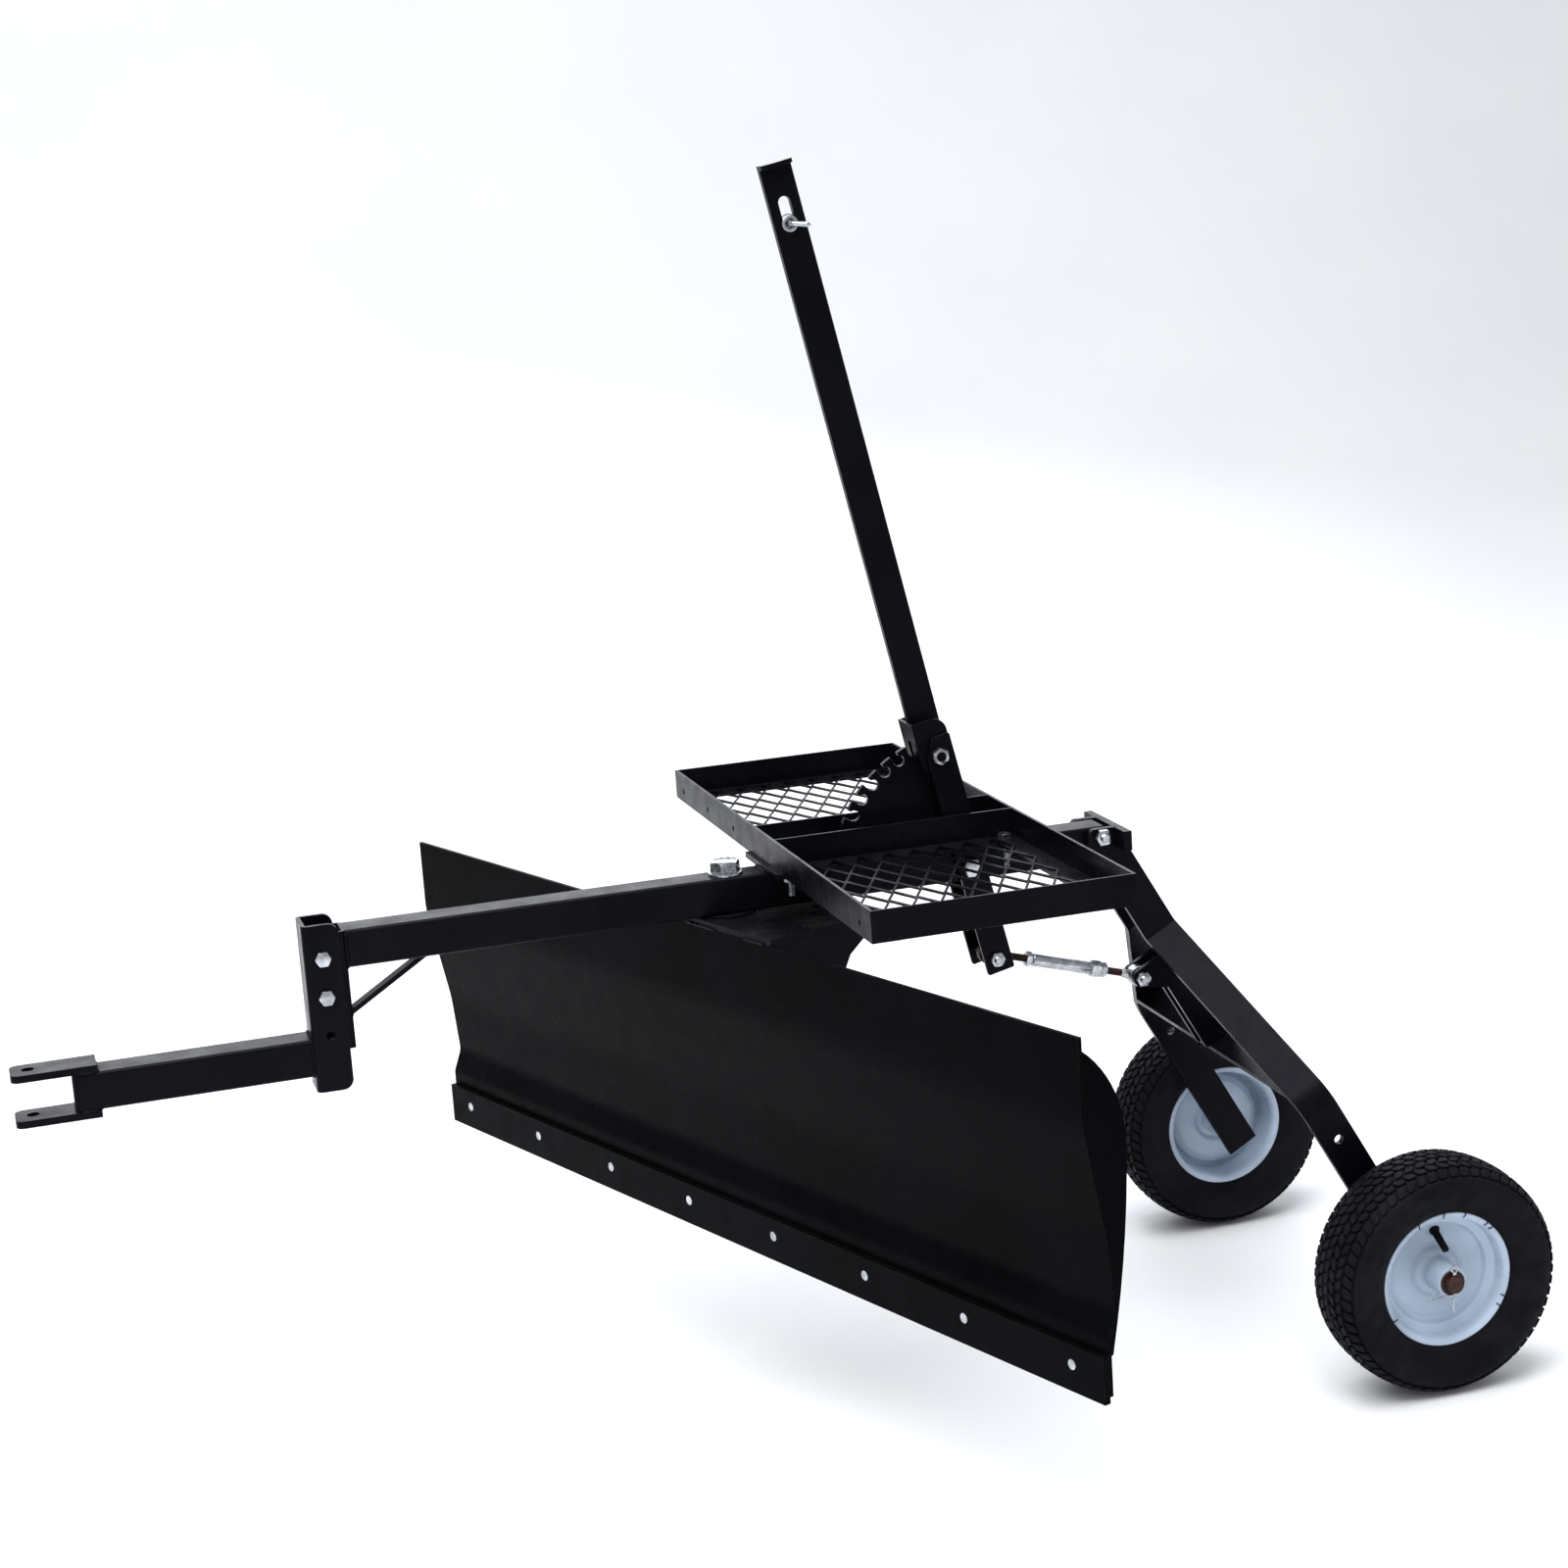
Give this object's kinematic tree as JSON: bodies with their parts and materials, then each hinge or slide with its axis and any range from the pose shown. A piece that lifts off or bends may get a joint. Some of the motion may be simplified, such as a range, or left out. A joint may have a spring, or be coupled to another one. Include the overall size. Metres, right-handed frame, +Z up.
{
  "type": "tow-behind grading blade",
  "caption": "Tow-behind grading blade: an angled concave blade under a tube beam with weight trays, a notched lift lever and two turf wheels.",
  "frame": {"origin": "centre of the hitch pin hole, midway between the two lugs", "axes": "+X forward to the hitch, +Y to the left, +Z up along the hitch pin"},
  "size_m": [1.9969, 1.4555, 1.7106],
  "materials": {
    "black_paint": "satin black paint",
    "edge_paint": "satin black paint over a thick wear bar",
    "mesh_paint": "black paint on expanded metal",
    "zinc_steel": "bright zinc plating",
    "rod_steel": "oiled threaded rod with light rust",
    "rim_paint": "pale gloss paint",
    "tyre_rubber": "matt black rubber",
    "valve_rubber": "black rubber"
  },
  "bodies": {
    "frame": {"main_beam": "black_paint", "hitch_post": "black_paint", "beam_brace": "black_paint", "hitch_bracket": "black_paint", "hitch_bolts": "zinc_steel", "hitch_nuts": "zinc_steel", "tongue_tube": "black_paint", "tongue_cap": "black_paint", "tongue_lugs": "black_paint", "tray_cross_bars": "black_paint", "tray_front_rail": "black_paint", "tray_rear_rail": "black_paint", "tray_end_rails": "black_paint", "tray_inner_rails": "black_paint", "left_floor_mesh": "mesh_paint", "right_floor_mesh": "mesh_paint", "tray_bolts": "zinc_steel", "tray_nuts": "zinc_steel", "notch_sector": "black_paint", "blade_pivot_bolt": "zinc_steel", "blade_pivot_washers": "zinc_steel", "blade_pivot_nut": "zinc_steel", "blade_pivot_boss": "black_paint", "lever_pivot_bolt": "zinc_steel", "carriage_pivot_bolt": "zinc_steel"},
    "blade": {"moldboard": "black_paint", "cutting_edge": "edge_paint", "edge_bolts": "zinc_steel", "edge_nuts": "zinc_steel", "end_plates": "black_paint", "turntable_plate": "black_paint", "turntable_gussets": "black_paint"},
    "lever": {"lever_plates": "black_paint", "handle_pivot_bolt": "zinc_steel", "link_front_bolt": "zinc_steel"},
    "handle": {"handle_bar": "black_paint", "latch_bracket": "black_paint", "handle_pin": "zinc_steel"},
    "link": {"turnbuckle_front_eye": "rod_steel", "turnbuckle_body": "zinc_steel", "turnbuckle_rear_eye": "rod_steel", "turnbuckle_jam_nuts": "zinc_steel"},
    "carriage": {"wheel_arms": "black_paint", "arm_cross_bar": "black_paint", "yoke_bar": "black_paint", "clevis_lugs": "black_paint", "link_rear_bolt": "zinc_steel", "spindles": "zinc_steel", "axle_washers": "zinc_steel", "cotter_pins": "zinc_steel"},
    "left_wheel": {"left_tyre": "tyre_rubber", "left_rim": "rim_paint", "left_valve": "valve_rubber"},
    "right_wheel": {"right_tyre": "tyre_rubber", "right_rim": "rim_paint", "right_valve": "valve_rubber"}
  },
  "joints": [
    {"name": "blade_swivel", "type": "hinge", "parent": "frame", "child": "blade", "pos_m": [-0.943, 0, 0.107], "axis": [0, 0, 1], "range_deg": [-74, 34]},
    {"name": "lever_lift", "type": "hinge", "parent": "frame", "child": "lever", "pos_m": [-1.284, 0, 0.137], "axis": [0, 1, 0], "range_deg": [0, 40]},
    {"name": "handle_release", "type": "hinge", "parent": "lever", "child": "handle", "pos_m": [-1.24751, 0, 0.29894], "axis": [0, 1, 0], "range_deg": [-8, 0]},
    {"name": "link_pivot", "type": "hinge", "parent": "lever", "child": "link", "pos_m": [-1.31478, 0, 0.00042], "axis": [0, 1, 0], "range_deg": [-46, 2]},
    {"name": "carriage_lift", "type": "hinge", "parent": "frame", "child": "carriage", "pos_m": [-1.479, 0, 0.155], "axis": [0, 1, 0], "range_deg": [-1, 24]},
    {"name": "left_wheel_spin", "type": "hinge", "parent": "carriage", "child": "left_wheel", "pos_m": [-1.809, 0.355, -0.434], "axis": [0, 1, 0], "continuous": true},
    {"name": "right_wheel_spin", "type": "hinge", "parent": "carriage", "child": "right_wheel", "pos_m": [-1.809, -0.355, -0.434], "axis": [0, 1, 0], "continuous": true}
  ],
  "couplings": [
    {"joint": "link_pivot", "follows": "lever_lift", "ratio": -1.065},
    {"joint": "carriage_lift", "follows": "lever_lift", "ratio": 0.56}
  ]
}
